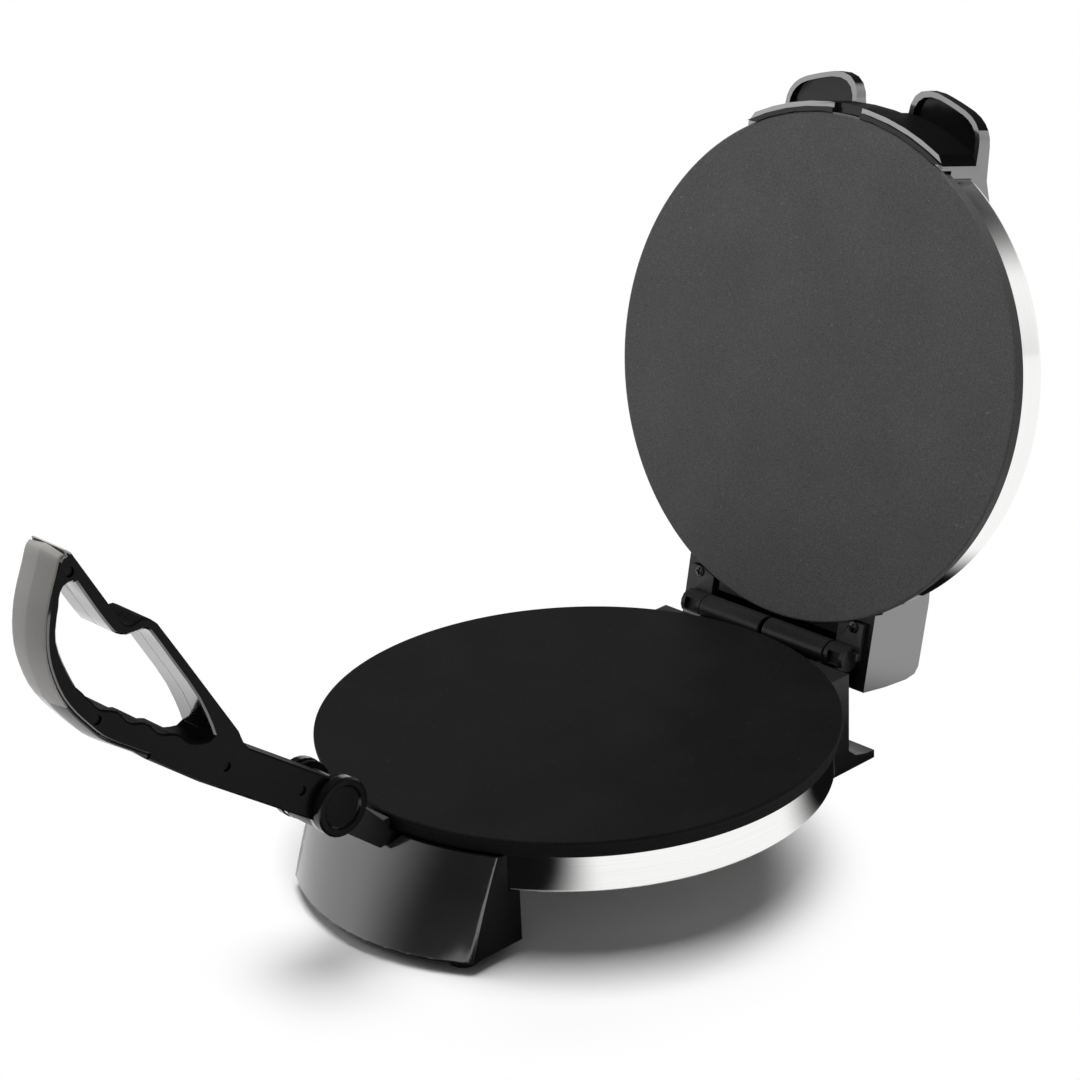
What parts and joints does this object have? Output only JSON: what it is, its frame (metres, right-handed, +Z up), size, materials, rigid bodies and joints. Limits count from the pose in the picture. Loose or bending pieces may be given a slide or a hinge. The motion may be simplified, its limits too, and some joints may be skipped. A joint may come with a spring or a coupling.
{
  "type": "electric roti maker",
  "caption": "Round electric roti maker with two heated plates, a stainless body, a hinged lid held open and a lever handle that presses it shut.",
  "frame": {"origin": "under the middle of the whole object, on the surface it stands on", "axes": "+Z up, +Y from the lever towards the lid hinge, +X to the right of someone facing +Y"},
  "size_m": [0.305, 0.646, 0.391],
  "materials": {
    "black_plate": "matt non-stick coat",
    "grey_plate": "matt non-stick coat",
    "stainless": "bright brushed",
    "black_plastic": "gloss",
    "grey_grip": "satin",
    "steel": "bright",
    "dark_steel": "dark",
    "aluminium": "mill",
    "rubber": "matt",
    "ceramic": "matt"
  },
  "bodies": {
    "base": {"base_band": "stainless", "base_bottom_cover": "aluminium", "bracket_screw_1": "steel", "bracket_screw_2": "steel", "cord_gland": "rubber", "cover_screw_1": "steel", "cover_screw_2": "steel", "cover_screw_3": "steel", "cover_screw_4": "steel", "foot_front_left": "rubber", "foot_front_right": "rubber", "foot_rear_left": "rubber", "foot_rear_right": "rubber", "front_housing": "black_plastic", "front_housing_screw_left": "steel", "front_housing_screw_right": "steel", "handle_bracket": "black_plastic", "hinge_pin": "steel", "lower_clamp_screw_1": "steel", "lower_clamp_screw_2": "steel", "lower_clamp_screw_3": "steel", "lower_element": "steel", "lower_element_clamp": "aluminium", "lower_plate": "black_plate", "lower_thermostat": "ceramic", "rear_housing": "black_plastic", "rear_housing_screw_left": "steel", "rear_housing_screw_right": "steel", "terminal_block": "ceramic"},
    "lid": {"front_lid_screw_left": "steel", "front_lid_screw_right": "steel", "hinge_arm_left": "black_plastic", "hinge_arm_right": "black_plastic", "hinge_arm_screw_left": "dark_steel", "hinge_arm_screw_right": "dark_steel", "lid_cover": "stainless", "lid_front_housing": "black_plastic", "lid_rear_housing": "black_plastic", "rear_lid_screw_left": "steel", "rear_lid_screw_right": "steel", "upper_clamp_screw_1": "steel", "upper_clamp_screw_2": "steel", "upper_clamp_screw_3": "steel", "upper_element": "steel", "upper_element_clamp": "aluminium", "upper_plate": "grey_plate", "upper_thermostat": "ceramic"},
    "handle": {"handle_axle": "steel", "handle_grip": "grey_grip", "handle_screw_1": "dark_steel", "handle_screw_2": "dark_steel", "handle_screw_3": "dark_steel", "handle_screw_4": "dark_steel", "handle_shell_left": "black_plastic", "handle_shell_right": "black_plastic", "pivot_cap_left": "black_plastic", "pivot_cap_right": "black_plastic"}
  },
  "joints": [
    {"name": "lid_hinge", "type": "hinge", "parent": "base", "child": "lid", "pos_m": [0, 0.20725, 0.0724], "axis": [1, 0, 0], "range_deg": [0, 102.86]},
    {"name": "handle_pivot", "type": "hinge", "parent": "base", "child": "handle", "pos_m": [0, -0.14885, 0.0984], "axis": [-1, 0, 0], "range_deg": [0, 114.7]}
  ]
}
